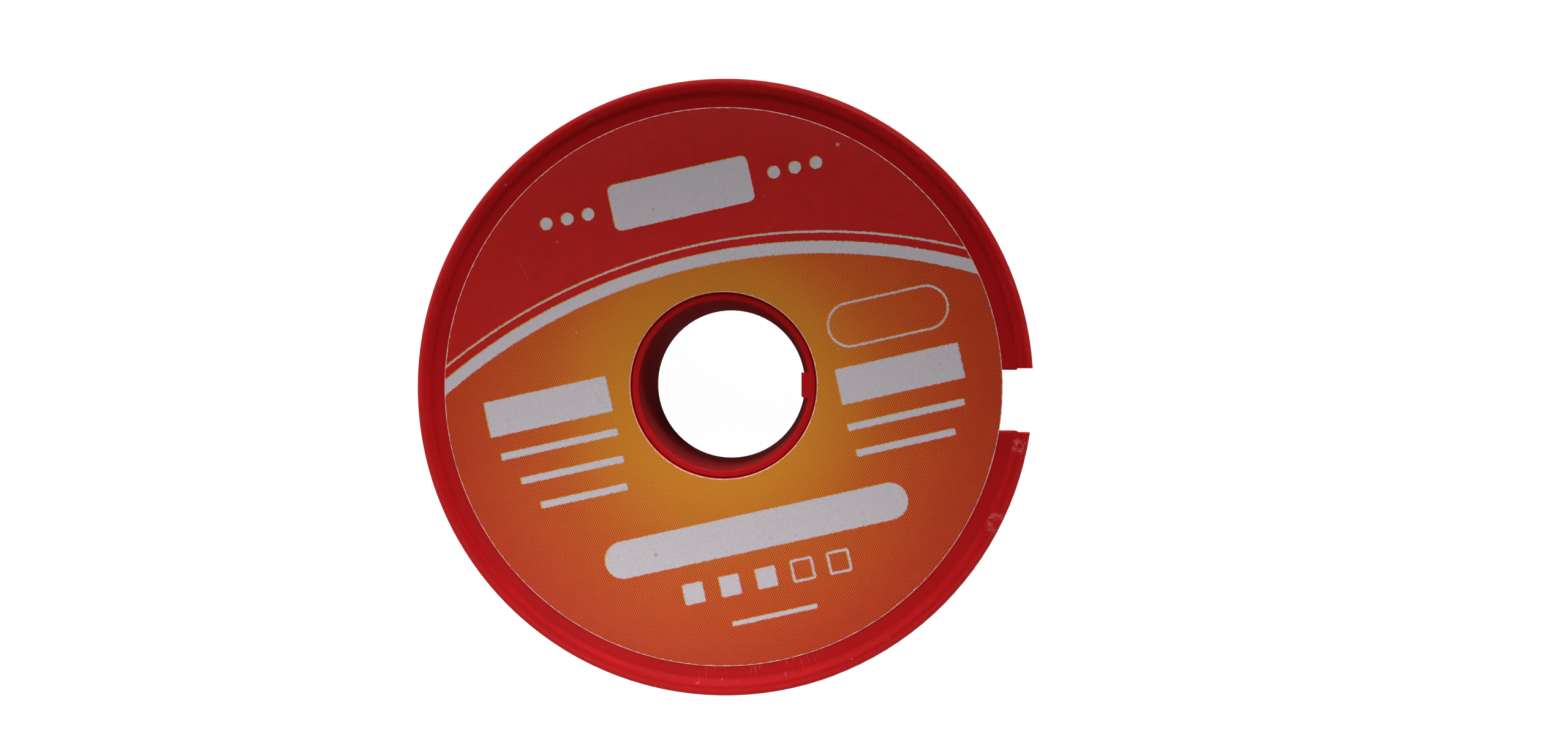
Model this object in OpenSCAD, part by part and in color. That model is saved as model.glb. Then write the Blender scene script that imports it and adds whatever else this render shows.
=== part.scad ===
// Small plastic spool of solder wire: two mouldings, a paper label and the wound wire.
// The spool lies on its rear flange, with its axis along Z and its label facing up.
// The wire notch in the front flange opens towards +X.

/* [Flanges] */
// Outer diameter of both flanges
flange_d = 60; // [52:1:80]
// Thickness of the flat web of a flange
web_t = 1.5; // [1.5:0.1:2.2]
// Width of the raised bead round the rim
bead_w = 1.6; // [1.4:0.1:2.4]
// Height of the rim bead above the web
bead_h = 0.4; // [0.4:0.1:1.2]
// Width of the flat land on the crest of the bead
bead_land = 0.4; // [0.2:0.1:0.6]
// Radius of the fillet where the bead rises from the web
bead_fillet = 0.4; // [0.2:0.05:0.5]
// Radius of the rim's corner next to the wire
rim_round = 0.5; // [0.2:0.1:0.8]

/* [Barrel] */
// Clear distance between the flanges
inner_w = 15; // [10:0.5:22]
// Bore for the spindle
bore_d = 16.5; // [12:0.5:20]
// Wall of the neck that carries the front flange
neck_wall = 0.75; // [0.6:0.05:1.2]
// Width of the shoulder that the front flange seats on
shoulder_w = 0.75; // [0.6:0.05:1.5]
// How far the neck's front end lies below the front web
hub_sink = 0.35; // [0.3:0.05:0.6]
// Height of the hub ring above the rear web
ring_h = 0.3; // [0.1:0.05:0.35]
// Rounding of the outer edge at both ends of the hub
ring_round = 0.1; // [0.1:0.05:0.2]
// Chamfer at both mouths of the bore
bore_chamfer = 0.15; // [0.05:0.05:0.2]
// How much the bore widens towards its front mouth, over the thickness of the gate stub
lead_in = 0.05; // [0.02:0.01:0.1]

/* [Flange joint] */
// Number of keys that stop the front flange from turning
key_count = 4; // [2:1:8]
// Width of a key
key_w = 2; // [1:0.1:3]
// Height of a key above the neck's wall
key_out = 0.35; // [0.2:0.05:0.5]
// Length of a key along the axis
key_l = 0.4; // [0.3:0.05:0.45]
// Radius of the snap bead's section
snap_r = 0.15; // [0.12:0.01:0.16]
// How far the snap bead stands out of the neck
snap_out = 0.1; // [0.08:0.01:0.12]
// Clearance between the neck and the flange
fit_gap = 0.03; // [0.02:0.01:0.05]
// Chamfer that leads the flange's hole onto the neck
joint_chamfer = 0.12; // [0.05:0.01:0.15]

/* [Gate stub] */
// Width of the stub in the bore's front mouth
stub_w = 2.5; // [1.5:0.1:4]
// How far the stub stands into the bore
stub_out = 0.65; // [0.3:0.05:1]
// Thickness of the stub along the axis
stub_t = 0.9; // [0.5:0.1:0.9]
// Radius of the stub's worn corner
stub_round = 0.3; // [0.1:0.05:0.4]

/* [Wire notch] */
// Width of the notch in the front flange
notch_w = 5.9; // [4.5:0.1:8]
// Depth of the notch, in from the rim
notch_depth = 3.8; // [3:0.1:5]
// Sideways place of the notch, from the spool's centre line
notch_y = -1.45; // [-3:0.05:3]
// Corner radius at the floor of the notch
notch_round = 0.4; // [0.2:0.1:1]
// How much wider the notch is on each side where it crosses the bead
notch_step = 0.15; // [0:0.05:0.3]
// Radius of the notch's edges on the web
notch_edge = 0.2; // [0.05:0.05:0.3]

/* [Wire start hole] */
// Diameter of the hole in the rear flange that holds the wire's inner end
start_hole_d = 1.8; // [1.6:0.1:2.5]
// Wall between the start hole and the barrel
start_hole_wall = 0.5; // [0.3:0.1:1]

/* [Label] */
// Thickness of the label
label_t = 0.12; // [0.08:0.02:0.3]
// Bare land between the label and the rim bead
label_margin = 1.25; // [0.8:0.05:2]
// How far the label's hole is set back from the flange's hole
label_hole_gap = 0.05; // [0.03:0.01:0.3]
// How far the label's outline sits off its hole, towards -X
label_shift = 0.15; // [0:0.01:0.2]

/* [Solder wire] */
// Diameter of the wire
wire_d = 1; // [0.8:0.05:1.5]
// Outer diameter of the winding
winding_d = 39; // [32:0.5:50]
// Gap from one turn of the outer layer to the next
turn_gap = 0.45; // [0.42:0.01:1]
// Gap between the outer layer and a flange
side_gap = 0.1; // [0.05:0.05:0.3]
// Gap between the layers under the outer one and the plastic
core_gap = 0.05; // [0.02:0.01:0.1]
// Gap between the outer layer and the layers under it
lay_gap = 0.02; // [0.01:0.01:0.05]
// Bend radius, in wire diameters, where an end turns down into the winding
end_bend = 0.8; // [0.7:0.05:1.5]

/* [Hidden] */
$fn = 96;
tiny = 0.01;
over = 1;

flange_r = flange_d / 2;
flange_t = web_t + bead_h;
crease_r = flange_r - bead_w;
bead_r = (bead_w - bead_land) / 2;
bead_x = crease_r + bead_r;
bead_y = flange_t - bead_r;
fillet_y = web_t + bead_fillet;
fillet_x = bead_x - sqrt(pow(bead_r + bead_fillet, 2) - pow(fillet_y - bead_y, 2));

bore_r = bore_d / 2;
neck_r = bore_r + neck_wall;
barrel_r = neck_r + shoulder_w;

rear_face_z = flange_t;
front_face_z = rear_face_z + inner_w;
front_web_z = front_face_z + web_t;
hub_top_z = front_web_z - hub_sink;
rear_web_z = bead_h;
hub_bottom_z = rear_web_z - ring_h;

hole_r = neck_r + fit_gap;
snap_inset = snap_r - snap_out;
neck_l = hub_top_z - front_face_z;
snap_z = (key_l + fit_gap + neck_l - ring_round) / 2;

start_hole_x = barrel_r + start_hole_wall + start_hole_d / 2;

label_r = crease_r - label_margin;
label_hole_r = hole_r + label_hole_gap;

notch_floor_x = flange_r - notch_depth;

// Outer layer of the winding: rings of six points along one helix
RINGS_PER_TURN = 24;
SIDES = 6;
BEND_STEPS = 4;
pitch = wire_d + turn_gap;
layer_r = (winding_d - wire_d) / 2;
flat_r = wire_d / 2 * cos(180 / SIDES);
chord_sag = layer_r * (1 - cos(180 / RINGS_PER_TURN));
core_r = layer_r - chord_sag - flat_r - lay_gap;
bend_r = end_bend * wire_d;
layer_z = rear_face_z + side_gap + wire_d / 2;
layer_span = inner_w - 2 * side_gap - wire_d;
last_ring = floor(layer_span / pitch * RINGS_PER_TURN);
pocket_x = layer_r - bend_r - wire_d;
pocket_gap = 0.1;

plastic = "firebrick";
paper = "orange";
solder = "silver";

// ---- Plastic mouldings ----

// Half section of a flange: the wire's side at y = 0, the bead on top, from x = inner_r outwards
module flange_section(inner_r) {
    translate([inner_r, 0])
        square([flange_r - rim_round - inner_r, web_t]);
    translate([crease_r, rim_round])
        square([bead_w, bead_y - rim_round]);
    translate([flange_r - rim_round, rim_round])
        circle(rim_round);
    for (x = [bead_x, bead_x + bead_land])
        translate([x, bead_y])
            circle(bead_r);
    translate([bead_x, web_t - tiny])
        square([bead_land, bead_h + tiny]);
    bead_fillet_section();
}

// The fillet that touches the web and the bead's inner round
module bead_fillet_section() {
    low = min(web_t, bead_y) - tiny;
    difference() {
        polygon([[fillet_x, low], [bead_x, low], [bead_x, bead_y], [fillet_x, fillet_y]]);
        translate([fillet_x, fillet_y])
            circle(bead_fillet);
    }
}

// Half section of an end of the hub, with its face at y = 0.
// The bore's mouth has a chamfer, and above the given depth the bore widens by flare.
module hub_end_section(height, flare, depth) {
    mouth_r = bore_r + flare;
    difference() {
        translate([bore_r, -height])
            square([neck_wall, height]);
        translate([neck_r - ring_round, -ring_round])
            difference() {
                square(ring_round + tiny);
                circle(ring_round);
            }
        polygon([
            [bore_r - over, tiny], [bore_r - over, -depth], [bore_r, -depth],
            [mouth_r, -bore_chamfer], [mouth_r + bore_chamfer + tiny, tiny]
        ]);
    }
}

// Keys of the neck, or with a clearance the keyways that take them
module neck_keys(clearance) {
    root_r = neck_r - neck_wall / 2;
    length = neck_r + key_out + clearance - root_r;
    width = key_w + 2 * clearance;
    for (i = [0 : key_count - 1])
        rotate((i + 0.5) * 360 / key_count)
            translate([root_r, -width / 2, -tiny])
                cube([length, width, key_l + clearance + tiny]);
}

// Section of the snap bead, or with a clearance its groove
module snap_section(clearance) {
    translate([neck_r - snap_inset, snap_z])
        circle(snap_r + clearance, $fn = 48);
}

// Outline of the stub that the moulding gate leaves in the bore
module gate_stub_outline() {
    wall_bite = neck_wall / 2;
    face_x = bore_r - stub_out;
    translate([face_x, -stub_w / 2 + stub_round])
        square([stub_out + wall_bite, stub_w - stub_round]);
    translate([face_x + stub_round, -stub_w / 2])
        square([stub_out + wall_bite - stub_round, stub_w]);
    translate([face_x + stub_round, -stub_w / 2 + stub_round])
        circle(stub_round, $fn = 48);
}

module spool_body() {
    color(plastic) {
        difference() {
            rotate_extrude() {
                translate([0, rear_face_z])
                    mirror([0, 1])
                        flange_section(bore_r + neck_wall / 2);
                translate([bore_r, rear_web_z])
                    square([shoulder_w + neck_wall, front_face_z - rear_web_z]);
                translate([0, hub_bottom_z])
                    mirror([0, 1])
                        hub_end_section(ring_h + web_t / 2, 0, stub_t);
                translate([0, hub_top_z])
                    hub_end_section(neck_l + tiny, lead_in, stub_t);
                translate([0, front_face_z])
                    intersection() {
                        snap_section(0);
                        translate([bore_r + neck_wall / 2, 0])
                            square([neck_wall, web_t]);
                    }
            }
            translate([-start_hole_x, 0, rear_web_z - over])
                cylinder(d = start_hole_d, h = web_t + 2 * over, $fn = 48);
        }
        translate([0, 0, front_face_z])
            neck_keys(0);
        translate([0, 0, hub_top_z - stub_t])
            linear_extrude(stub_t)
                gate_stub_outline();
    }
}

// Outline of the wire notch, with round corners at its floor
module notch_outline() {
    reach = notch_depth + over;
    translate([notch_floor_x, notch_y - notch_w / 2]) {
        translate([notch_round, 0])
            square([reach - notch_round, notch_w]);
        translate([0, notch_round])
            square([reach, notch_w - 2 * notch_round]);
        for (y = [notch_round, notch_w - notch_round])
            translate([notch_round, y])
                circle(notch_round, $fn = 48);
    }
}

// What rounds the web's edge along one side of the notch
module notch_edge_cutter(side) {
    start_x = notch_floor_x + notch_round;
    translate([start_x, notch_y, web_t])
        rotate([90, 0, 90])
            linear_extrude(min(crease_r + tiny, fillet_x) - start_x)
                mirror([side < 0 ? 1 : 0, 0])
                    translate([notch_w / 2, 0])
                        difference() {
                            translate([-tiny, -notch_edge])
                                square([notch_edge + tiny, notch_edge + tiny]);
                            translate([notch_edge, -notch_edge])
                                circle(notch_edge, $fn = 48);
                        }
}

// The notch as a cutter, with its step through the bead and its round edges on the web
module notch_cutter() {
    translate([0, 0, -over])
        linear_extrude(flange_t + 2 * over)
            notch_outline();
    translate([crease_r, notch_y - notch_w / 2 - notch_step, -over])
        cube([bead_w + over, notch_w + 2 * notch_step, flange_t + 2 * over]);
    for (side = [-1, 1])
        notch_edge_cutter(side);
}

module front_flange() {
    color(plastic)
        translate([0, 0, front_face_z])
            difference() {
                rotate_extrude()
                    difference() {
                        flange_section(hole_r);
                        snap_section(fit_gap);
                        translate([hole_r, 0])
                            rotate(45)
                                square(joint_chamfer * sqrt(2), center = true);
                    }
                neck_keys(fit_gap);
                notch_cutter();
            }
}

// ---- Label ----

module front_label() {
    color(paper)
        translate([0, 0, front_web_z])
            linear_extrude(label_t)
                difference() {
                    translate([-label_shift, 0])
                        circle(label_r);
                    circle(label_hole_r);
                }
}

// ---- Solder wire ----

// A point on a circle round the spool's axis
function around(angle, r, z) = [r * cos(angle), r * sin(angle), z];

// Outward and forward directions at an angle round the spool
function outward(angle) = [cos(angle), sin(angle), 0];
function forward(angle) = [-sin(angle), cos(angle), 0];

// Angle and height of a ring on the helix
function ring_angle(i) = i * 360 / RINGS_PER_TURN;
function ring_z(i) = layer_z + i * pitch / RINGS_PER_TURN;

// Stations are pairs of a centre and a side direction. side is -1 at the start, 1 at the end.
function helix_station(i) = [around(ring_angle(i), layer_r, ring_z(i)), outward(ring_angle(i))];
function bend_station(i, side, turn) =
    let (o = outward(ring_angle(i)), f = side * forward(ring_angle(i)))
    [around(ring_angle(i), layer_r, ring_z(i)) + bend_r * (sin(turn) * f - (1 - cos(turn)) * o),
     cos(turn) * o + sin(turn) * f];
function tip_station(i, side) =
    let (last = bend_station(i, side, 90))
    [last[0] - wire_d * outward(ring_angle(i)), last[1]];

stations = concat(
    [tip_station(0, -1)],
    [for (k = [BEND_STEPS : -1 : 1]) bend_station(0, -1, k * 90 / BEND_STEPS)],
    [for (i = [0 : last_ring]) helix_station(i)],
    [for (k = [1 : BEND_STEPS]) bend_station(last_ring, 1, k * 90 / BEND_STEPS)],
    [tip_station(last_ring, 1)]
);

// Six points round a station, with two of them straight up and down
function ring_points(station) = [
    for (k = [0 : SIDES - 1])
        let (a = 90 + k * 360 / SIDES)
        station[0] + wire_d / 2 * (cos(a) * station[1] + sin(a) * [0, 0, 1])
];

// Least gap of the tube to itself, measured between stations at least half a turn apart
least_gap = min([
    for (i = [0 : len(stations) - 1 - RINGS_PER_TURN / 2])
        for (j = [i + RINGS_PER_TURN / 2 : len(stations) - 1])
            norm(stations[i][0] - stations[j][0])
]) - wire_d;
echo(least_gap_of_outer_layer = least_gap, turns = last_ring / RINGS_PER_TURN);

module solder_outer_layer() {
    count = len(stations);
    last = (count - 1) * SIDES;
    points = [for (s = stations) each ring_points(s)];
    side_faces = [
        for (i = [0 : count - 2])
            for (k = [0 : SIDES - 1])
                let (a = i * SIDES + k, b = i * SIDES + (k + 1) % SIDES)
                each [[a, b, b + SIDES], [a, b + SIDES, a + SIDES]]
    ];
    start_cap = [for (k = [1 : SIDES - 2]) [0, k + 1, k]];
    end_cap = [for (k = [1 : SIDES - 2]) [last, last + k, last + k + 1]];
    color(solder)
        polyhedron(points, concat(side_faces, start_cap, end_cap));
}

// Pocket where an end of the outer layer turns down among the turns below it
module end_pocket(i, side) {
    half = wire_d / 2 + pocket_gap;
    y = side * bend_r;
    translate([0, 0, ring_z(i)])
        rotate(ring_angle(i))
            translate([pocket_x, y - half, -half])
                cube([wire_d + bend_r + over, 2 * half, 2 * half]);
}

module solder_inner_layers() {
    tail_l = web_t - core_gap;
    color(solder) {
        difference() {
            translate([0, 0, rear_face_z + core_gap])
                rotate_extrude()
                    translate([barrel_r + core_gap, 0])
                        square([core_r - barrel_r - core_gap, inner_w - 2 * core_gap]);
            end_pocket(0, -1);
            end_pocket(last_ring, 1);
        }
        translate([-start_hole_x, 0, rear_face_z - tail_l])
            cylinder(d = wire_d, h = tail_l + core_gap + tiny, $fn = 48);
    }
}

spool_body();
front_flange();
front_label();
solder_inner_layers();
solder_outer_layer();
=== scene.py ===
"""Solder wire spool: the finish of its two mouldings, its printed label and its wound wire.

Distances are in metres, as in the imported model. Patterns are worked out in millimetres.
The spool lies on its rear flange at z = 0, with its axis along z and its label facing up.
"""
import math

import bmesh
import bpy
from bpy.props import FloatProperty, FloatVectorProperty, IntProperty, PointerProperty
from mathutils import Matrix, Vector


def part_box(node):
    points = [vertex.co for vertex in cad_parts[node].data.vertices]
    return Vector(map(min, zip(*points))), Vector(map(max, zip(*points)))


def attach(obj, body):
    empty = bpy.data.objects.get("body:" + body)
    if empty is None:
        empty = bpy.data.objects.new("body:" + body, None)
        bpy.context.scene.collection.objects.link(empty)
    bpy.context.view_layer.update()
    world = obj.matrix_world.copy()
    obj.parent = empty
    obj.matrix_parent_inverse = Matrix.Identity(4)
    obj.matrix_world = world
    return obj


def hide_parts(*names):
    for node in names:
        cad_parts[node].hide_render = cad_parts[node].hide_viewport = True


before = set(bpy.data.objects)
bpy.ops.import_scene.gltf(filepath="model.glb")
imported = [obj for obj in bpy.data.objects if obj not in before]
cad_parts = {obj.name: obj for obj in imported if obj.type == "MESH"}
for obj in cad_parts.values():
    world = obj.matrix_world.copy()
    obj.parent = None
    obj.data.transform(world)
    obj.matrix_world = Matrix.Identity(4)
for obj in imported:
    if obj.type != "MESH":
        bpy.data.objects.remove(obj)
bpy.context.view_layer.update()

bl_info = {
    "name": "Solder Wire Spool",
    "version": (1, 0, 0),
    "blender": (4, 5, 0),
    "location": "View3D > Sidebar > Spool",
    "description": "Mouldings, printed label and wound wire of a small solder spool",
    "category": "Object",
}

MM = 0.001
LABEL_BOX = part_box("front_label")
CORE_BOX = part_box("solder_inner_layers")
FLANGE_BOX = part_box("front_flange")
# Radii of the spindle bore, the label, the middle of the land beside it and the rim, in mm
BORE_RADIUS = 8.25
LABEL_RADIUS = (LABEL_BOX[1].y - LABEL_BOX[0].y) / 2 / MM
LAND_RADIUS = 27.8
RIM_RADIUS = 30.0
# Height of the hub's front end, in mm
HUB_END = 18.05
# Depth that the full height of a finish's fine relief stands for
RELIEF_DEPTH = 0.02 * MM

# Turn of the printing on the label, about the spool's axis
PRINT_TURN = math.radians(12.6)
# Period of the halftone screen in mm, and its turn
SCREEN_PERIOD = 0.164
SCREEN_TURN = math.radians(22.3)


# ---- Sizes, colours and stage values that a user may change ----

class SpoolSizes(bpy.types.PropertyGroup):
    wire_diameter: FloatProperty(
        name="Wire diameter", description="Diameter of the solder wire",
        default=1.0 * MM, min=0.5 * MM, max=2 * MM, unit="LENGTH", precision=5)
    layers: IntProperty(
        name="Layers", description="Layers of wire from the barrel to the outermost one",
        default=10, min=2, max=14)
    turns_in_layer: FloatProperty(
        name="Turns in a layer", description="Turns that lie side by side between the flanges",
        default=13.8, min=4, max=20)
    first_radius: FloatProperty(
        name="First layer radius", description="Radius of the wire's path in the layer on the barrel",
        default=10.28 * MM, unit="LENGTH", precision=5)
    last_radius: FloatProperty(
        name="Last layer radius", description="Radius of the wire's path in the outermost layer",
        default=19.0 * MM, unit="LENGTH", precision=5)
    start_hole_radius: FloatProperty(
        name="Start hole place", description="Distance of the wire's start hole from the axis",
        default=11.15 * MM, unit="LENGTH", precision=5)
    label_hole_radius: FloatProperty(
        name="Label hole radius", description="Radius of the label's round hole",
        default=9.08 * MM, unit="LENGTH", precision=5)
    label_edge: FloatProperty(
        name="Label edge", description="Width of the cut edge where the label's face slopes down",
        default=0.1 * MM, unit="LENGTH", precision=5)


class SpoolColours(bpy.types.PropertyGroup):
    plastic: FloatVectorProperty(
        name="Plastic", description="Red of the two mouldings",
        default=(0.445, 0.0035, 0.0055), subtype="COLOR", size=3, min=0, max=1)
    plastic_scuff: FloatVectorProperty(
        name="Scuffed plastic", description="Paler red where the plastic is rubbed",
        default=(0.56, 0.085, 0.085), subtype="COLOR", size=3, min=0, max=1)
    red_ink: FloatVectorProperty(
        name="Red ink", description="Solid red of the label, and the dots of its screen",
        default=(0.43, 0.005, 0.0035), subtype="COLOR", size=3, min=0, max=1)
    yellow_ink: FloatVectorProperty(
        name="Yellow ink", description="Yellow under the dots of the screen",
        default=(0.55, 0.245, 0.008), subtype="COLOR", size=3, min=0, max=1)
    blank_paper: FloatVectorProperty(
        name="Blank paper", description="Bare places inside the printing",
        default=(0.505, 0.463, 0.496), subtype="COLOR", size=3, min=0, max=1)
    cut_paper: FloatVectorProperty(
        name="Cut edge", description="Unprinted rim of the label along its cuts",
        default=(0.74, 0.47, 0.41), subtype="COLOR", size=3, min=0, max=1)
    solder: FloatVectorProperty(
        name="Solder", description="Bright drawn solder wire",
        default=(0.70, 0.70, 0.69), subtype="COLOR", size=3, min=0, max=1)
    dull_solder: FloatVectorProperty(
        name="Dull solder", description="Wire where its surface has gone dull",
        default=(0.40, 0.40, 0.41), subtype="COLOR", size=3, min=0, max=1)


class SpoolStage(bpy.types.PropertyGroup):
    camera_place: FloatVectorProperty(
        name="Camera place", description="Where the camera stands, above the spool",
        default=(5.84 * MM, 1.03 * MM, 135.03 * MM), subtype="TRANSLATION", size=3)
    camera_turn: FloatVectorProperty(
        name="Camera turn", description="Turn of the camera from a look straight down",
        default=(math.radians(1.30), math.radians(1.56), 0.0), subtype="EULER", size=3)
    camera_shift: FloatVectorProperty(
        name="Camera shift", description="Shift of the frame, in shares of its width",
        default=(0.0212, -0.0150), size=2)
    lens: FloatProperty(
        name="Lens", description="Focal length for a sensor 36 mm wide", default=27.55)
    back_power: FloatProperty(
        name="Back light", description="Power of the low lamp behind the spool", default=0.017, min=0,
        unit="POWER")
    high_power: FloatProperty(
        name="High light", description="Power of the high lamp behind the spool", default=0.0192, min=0,
        unit="POWER")
    left_power: FloatProperty(
        name="Left light", description="Power of the lamp in front, at the left", default=0.0116, min=0,
        unit="POWER")
    right_power: FloatProperty(
        name="Right light", description="Power of the lamp in front, at the right", default=0.0075, min=0,
        unit="POWER")
    sky: FloatProperty(
        name="Room light", description="Light of the room near its horizon", default=0.5, min=0)


# ---- Helpers for node trees ----

def add_node(tree, kind, inputs=(), **settings):
    """Adds a node, sets its properties, and gives its inputs values or links in order or by name."""
    made = tree.nodes.new(kind)
    for name, value in settings.items():
        setattr(made, name, value)
    pairs = inputs.items() if isinstance(inputs, dict) else enumerate(inputs)
    for key, value in pairs:
        if isinstance(value, bpy.types.NodeSocket):
            tree.links.new(value, made.inputs[key])
        else:
            made.inputs[key].default_value = value
    return made


def maths(tree, operation, *values, clamp=False):
    return add_node(tree, "ShaderNodeMath", values, operation=operation, use_clamp=clamp).outputs[0]


def plus(tree, first, second):
    return maths(tree, "ADD", first, second)


def minus(tree, first, second):
    return maths(tree, "SUBTRACT", first, second)


def both(tree, first, second):
    """Product of two values, or the place where two masks meet."""
    return maths(tree, "MULTIPLY", first, second)


def either(tree, *masks):
    """The strongest of several masks."""
    result = masks[0]
    for mask in masks[1:]:
        result = maths(tree, "MAXIMUM", result, mask)
    return result


def vector_maths(tree, operation, *values):
    made = add_node(tree, "ShaderNodeVectorMath", values, operation=operation)
    return made.outputs["Value" if operation in {"LENGTH", "DOT_PRODUCT", "DISTANCE"} else "Vector"]


def scaled(tree, vector, factor):
    made = add_node(tree, "ShaderNodeVectorMath", {"Vector": vector, "Scale": factor}, operation="SCALE")
    return made.outputs["Vector"]


def joined(tree, x=0.0, y=0.0, z=0.0):
    return add_node(tree, "ShaderNodeCombineXYZ", (x, y, z)).outputs[0]


def ramp(tree, value, low, high, out_low=0.0, out_high=1.0, smooth=True):
    """Value from out_low at low to out_high at high, held beyond both ends."""
    made = add_node(
        tree, "ShaderNodeMapRange",
        {"Value": value, "From Min": low, "From Max": high, "To Min": out_low, "To Max": out_high},
        interpolation_type="SMOOTHSTEP" if smooth else "LINEAR")
    return made.outputs["Result"]


def mix_colour(tree, factor, first, second, blend="MIX"):
    """Mix of two colours, from the first at factor 0 to the second at 1."""
    made = add_node(tree, "ShaderNodeMix", data_type="RGBA", blend_type=blend)
    for socket, value in zip((made.inputs[0], made.inputs[6], made.inputs[7]), (factor, first, second)):
        if isinstance(value, bpy.types.NodeSocket):
            tree.links.new(value, socket)
        elif socket.type == "RGBA":
            socket.default_value = (*value[:3], 1)
        else:
            socket.default_value = value
    return made.outputs[2]


def toned(tree, colour, tone):
    """The colour made lighter or darker by a factor."""
    return mix_colour(tree, 1.0, colour, joined(tree, tone, tone, tone), "MULTIPLY")


def noise(tree, vector, scale, detail=2.0, roughness=0.5):
    """Smooth noise from 0 to 1 with the given number of waves in a unit of the vector."""
    made = add_node(
        tree, "ShaderNodeTexNoise",
        {"Vector": vector, "Scale": scale, "Detail": detail, "Roughness": roughness},
        noise_dimensions="3D")
    return made.outputs["Fac"]


def centred_noise(tree, vector, scale, detail=2.0, roughness=0.5):
    """The same noise, from -0.5 to 0.5."""
    return minus(tree, noise(tree, vector, scale, detail, roughness), 0.5)


def new_group(name, kind, inputs, outputs):
    """A node group with named sockets. inputs and outputs map a name to its socket type or default."""
    group = bpy.data.node_groups.new(name, kind)
    kinds = {float: "NodeSocketFloat", int: "NodeSocketInt", tuple: "NodeSocketVector"}
    for direction, sockets in (("INPUT", inputs), ("OUTPUT", outputs)):
        for title, value in sockets.items():
            socket_type = value if isinstance(value, str) else kinds[type(value)]
            made = group.interface.new_socket(name=title, in_out=direction, socket_type=socket_type)
            if not isinstance(value, str):
                made.default_value = value
    return group, group.nodes.new("NodeGroupInput"), group.nodes.new("NodeGroupOutput")


def use_group(tree, group, inputs):
    return add_node(tree, "ShaderNodeGroup", inputs, node_tree=group)


def new_material(name):
    """A material with a Principled BSDF, and that shader."""
    material = bpy.data.materials.new(name)
    material.use_nodes = True
    tree = material.node_tree
    tree.nodes.clear()
    shader = tree.nodes.new("ShaderNodeBsdfPrincipled")
    output = tree.nodes.new("ShaderNodeOutputMaterial")
    tree.links.new(shader.outputs[0], output.inputs[0])
    return material, tree, shader


def finish_surface(tree, shader, colour, roughness, height):
    """Links a finish's colour and roughness, and its fine relief as a height from 0 to 1."""
    bump = add_node(tree, "ShaderNodeBump", {"Strength": 1.0, "Distance": RELIEF_DEPTH, "Height": height})
    tree.links.new(colour, shader.inputs["Base Color"])
    tree.links.new(roughness, shader.inputs["Roughness"])
    tree.links.new(bump.outputs[0], shader.inputs["Normal"])


def object_millimetres(tree):
    place = tree.nodes.new("ShaderNodeTexCoord").outputs["Object"]
    return scaled(tree, place, 1 / MM)


def flat_place(tree, place, turn):
    """The place without its height, turned about the spool's axis."""
    parts = add_node(tree, "ShaderNodeSeparateXYZ", (place,))
    flat = joined(tree, parts.outputs[0], parts.outputs[1])
    made = add_node(
        tree, "ShaderNodeVectorRotate", {"Vector": flat, "Angle": -turn}, rotation_type="Z_AXIS")
    return made.outputs[0]


# ---- Effects that several finishes share ----

def round_place_group():
    """Radius, angle and run along the circle of a place in millimetres."""
    group, given, result = new_group(
        "Round Place", "ShaderNodeTree", {"Place": (0.0, 0.0, 0.0)},
        {"Radius": 0.0, "Angle": 0.0, "Height": 0.0, "Along": (0.0, 0.0, 0.0)})
    parts = add_node(group, "ShaderNodeSeparateXYZ", (given.outputs["Place"],))
    x, y, z = parts.outputs
    radius = maths(group, "SQRT", plus(group, both(group, x, x), both(group, y, y)))
    angle = maths(group, "ARCTAN2", y, x)
    # Noise read at this place is drawn out along the circle: it repeats nowhere and has no seam
    along = joined(group, maths(group, "COSINE", angle), maths(group, "SINE", angle), radius)
    for name, socket in (("Radius", radius), ("Angle", angle), ("Height", z), ("Along", along)):
        group.links.new(socket, result.inputs[name])
    return group


def specks_group():
    """Small round specks strewn at random. Share is the part of the cells that hold one."""
    group, given, result = new_group(
        "Specks", "ShaderNodeTree",
        {"Place": (0.0, 0.0, 0.0), "Per Millimetre": 1.0, "Size": 0.2, "Share": 0.3}, {"Mask": 0.0})
    cells = add_node(
        group, "ShaderNodeTexVoronoi",
        {"Vector": given.outputs["Place"], "Scale": given.outputs["Per Millimetre"], "Randomness": 1.0},
        voronoi_dimensions="3D", feature="F1")
    shade = add_node(group, "ShaderNodeSeparateXYZ", (cells.outputs["Color"],))
    chosen = maths(group, "LESS_THAN", shade.outputs[0], given.outputs["Share"])
    size = both(group, given.outputs["Size"], ramp(group, shade.outputs[1], 0, 1, 0.45, 1.0))
    near = maths(group, "DIVIDE", cells.outputs["Distance"], size)
    group.links.new(both(group, chosen, ramp(group, near, 1.0, 0.6)), result.inputs["Mask"])
    return group


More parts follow.
